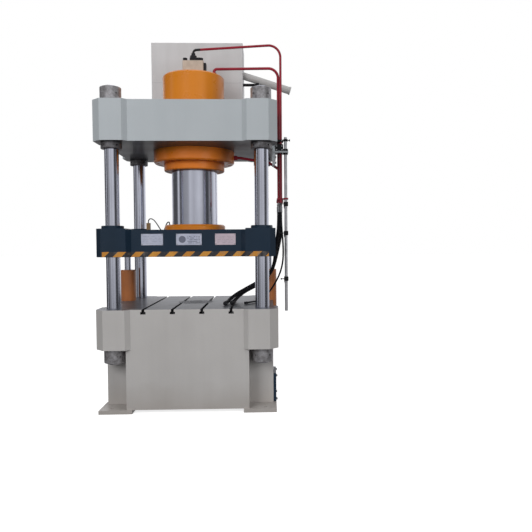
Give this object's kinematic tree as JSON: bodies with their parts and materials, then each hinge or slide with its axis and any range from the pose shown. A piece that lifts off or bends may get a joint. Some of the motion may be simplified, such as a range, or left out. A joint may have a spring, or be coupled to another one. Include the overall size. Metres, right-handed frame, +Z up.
{
  "type": "hydraulic press",
  "caption": "Four-column hydraulic press: top ram, guided slide, T-slotted bed with ejector, side return cylinders, oil tank and hoses.",
  "frame": {"origin": "on the floor, under the axis of the main ram, at the centre of the four anchor holes", "axes": "+Z up, +X to the operator's right, -Y towards the operator"},
  "size_m": [1.693, 1.318, 3.39],
  "materials": {
    "bed_paint": "smooth gloss paint",
    "crown_paint": "smooth gloss paint",
    "cylinder_paint": "gloss orange paint",
    "slide_paint": "gloss blue-green paint",
    "pipe_paint": "gloss red paint",
    "tank_paint": "satin paint",
    "valve_paint": "satin cream paint",
    "spout_paint": "satin paint",
    "hard_chrome": "ground hard chrome",
    "machined_steel": "machined steel",
    "oxide_steel": "black oxide",
    "rail_steel": "zinc plated",
    "bronze": "turned bronze",
    "rubber": "matt black hose cover",
    "seal": "seal rubber",
    "plate_face": "printed plate",
    "hazard_tape": "printed tape",
    "switch_plastic": "moulded black",
    "tan_paint": "painted block"
  },
  "bodies": {
    "frame": {"bed_frame": "bed_paint", "bed_side_cover": "slide_paint", "bed_nuts": "machined_steel", "crown_lock_nuts": "machined_steel", "crown_top_nuts": "machined_steel", "crown_frame": "crown_paint", "main_cylinder": "cylinder_paint", "cylinder_bolts": "cylinder_paint", "gland_ring": "cylinder_paint", "ram_seals": "seal", "ram_bush": "bronze", "side_heads": "cylinder_paint", "ejector_barrel": "cylinder_paint", "ejector_gland": "machined_steel", "valve_block": "valve_paint", "valve_screws": "oxide_steel", "pilot_head": "oxide_steel", "suction_pipe": "tank_paint", "oil_tank": "tank_paint", "tank_lid": "tank_paint", "tank_spout": "spout_paint", "drain_stub": "oxide_steel", "pilot_pipe": "pipe_paint", "main_pipe": "pipe_paint", "back_pipe": "pipe_paint", "pipe_unions": "pipe_paint", "pipe_bracket": "crown_paint", "pipe_clamps": "switch_plastic", "switch_rail": "rail_steel", "main_hose": "rubber", "back_hose": "rubber", "thin_hose": "rubber", "hose_fittings": "machined_steel", "column_front_left": "hard_chrome", "column_rear_left": "hard_chrome", "column_front_right": "hard_chrome", "column_rear_right": "hard_chrome", "side_barrel_left": "cylinder_paint", "side_barrel_right": "cylinder_paint", "limit_switch_upper": "switch_plastic", "limit_switch_middle": "switch_plastic", "limit_switch_lower": "switch_plastic"},
    "slide": {"slide_frame": "slide_paint", "guide_bushes": "bronze", "bush_collars": "slide_paint", "name_plates": "plate_face", "hazard_strip": "hazard_tape", "striker": "oxide_steel", "ram": "hard_chrome", "ram_flange": "cylinder_paint", "ram_flange_bolts": "oxide_steel", "side_rod_left": "hard_chrome", "side_rod_right": "hard_chrome", "lube_block": "tan_paint", "lube_line": "rubber"},
    "ejector": {"ejector_rod": "hard_chrome", "ejector_pad": "machined_steel"},
    "lever_upper": {"switch_lever_upper": "oxide_steel"},
    "lever_middle": {"switch_lever_middle": "oxide_steel"},
    "lever_lower": {"switch_lever_lower": "oxide_steel"}
  },
  "joints": [
    {"name": "slide_stroke", "type": "slide", "parent": "frame", "child": "slide", "axis": [0, 0, 1], "range_m": [-0.06, 0.44]},
    {"name": "ejector_stroke", "type": "slide", "parent": "frame", "child": "ejector", "axis": [0, 0, 1], "range_m": [0, 0.2]},
    {"name": "lever_upper_pivot", "type": "hinge", "parent": "frame", "child": "lever_upper", "pos_m": [0.838, -0.163, 1.786], "axis": [0, 1, 0], "range_deg": [-25, 25], "stiffness_Nm_per_rad": 0.5},
    {"name": "lever_middle_pivot", "type": "hinge", "parent": "frame", "child": "lever_middle", "pos_m": [0.838, -0.163, 1.52], "axis": [0, 1, 0], "range_deg": [-25, 25], "stiffness_Nm_per_rad": 0.5},
    {"name": "lever_lower_pivot", "type": "hinge", "parent": "frame", "child": "lever_lower", "pos_m": [0.838, -0.163, 1.1], "axis": [0, 1, 0], "range_deg": [-25, 25], "stiffness_Nm_per_rad": 0.5}
  ]
}
